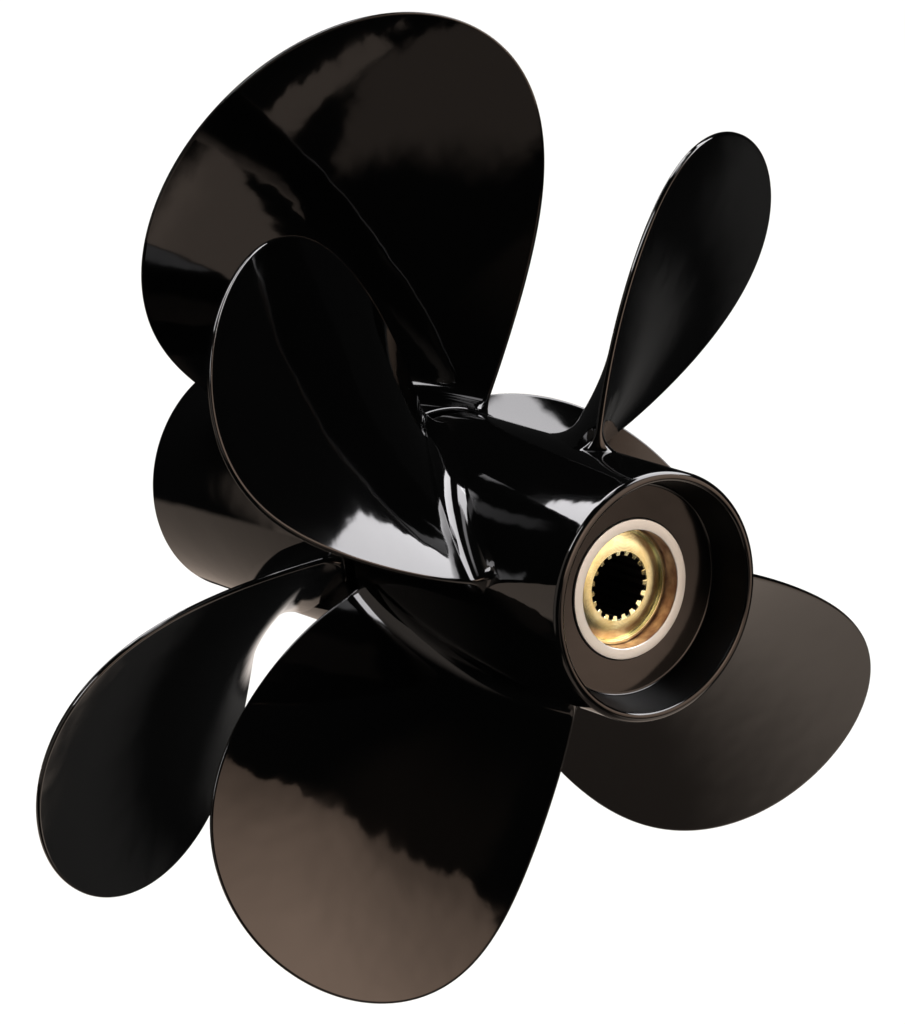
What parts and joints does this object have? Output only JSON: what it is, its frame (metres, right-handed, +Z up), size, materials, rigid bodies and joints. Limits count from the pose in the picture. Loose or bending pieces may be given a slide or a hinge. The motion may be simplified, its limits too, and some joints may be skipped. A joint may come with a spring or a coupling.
{
  "type": "contra-rotating boat propeller pair",
  "caption": "Nested pair of contra-rotating boat propellers in glossy black painted aluminium, with splined brass bushings in their hubs.",
  "frame": {"origin": "on the common axis, in the plane of the front hub's forward end", "axes": "+Y forward along the propeller axis towards the drive, +Z up, +X to starboard"},
  "size_m": [0.3584, 0.256, 0.352],
  "materials": {
    "black_paint": "glossy sprayed paint over cast aluminium",
    "bare_aluminium": "machined bare",
    "sleeve_brass": "machined and broached",
    "black_rubber": "moulded"
  },
  "bodies": {
    "front_propeller": {"front_hub": "black_paint", "front_blade_1": "black_paint", "front_blade_2": "black_paint", "front_blade_3": "black_paint", "front_outer_sleeve": "bare_aluminium", "front_rubber_bush": "black_rubber", "front_splined_sleeve": "sleeve_brass"},
    "rear_propeller": {"rear_hub": "black_paint", "rear_blade_1": "black_paint", "rear_blade_2": "black_paint", "rear_blade_3": "black_paint", "rear_blade_4": "black_paint", "rear_outer_sleeve": "bare_aluminium", "rear_rubber_bush": "black_rubber", "rear_splined_sleeve": "sleeve_brass"}
  },
  "joints": [
    {"name": "rear_propeller_spin", "type": "hinge", "parent": "front_propeller", "child": "rear_propeller", "pos_m": [0, -0.1275, 0], "axis": [0, 1, 0], "continuous": true}
  ]
}
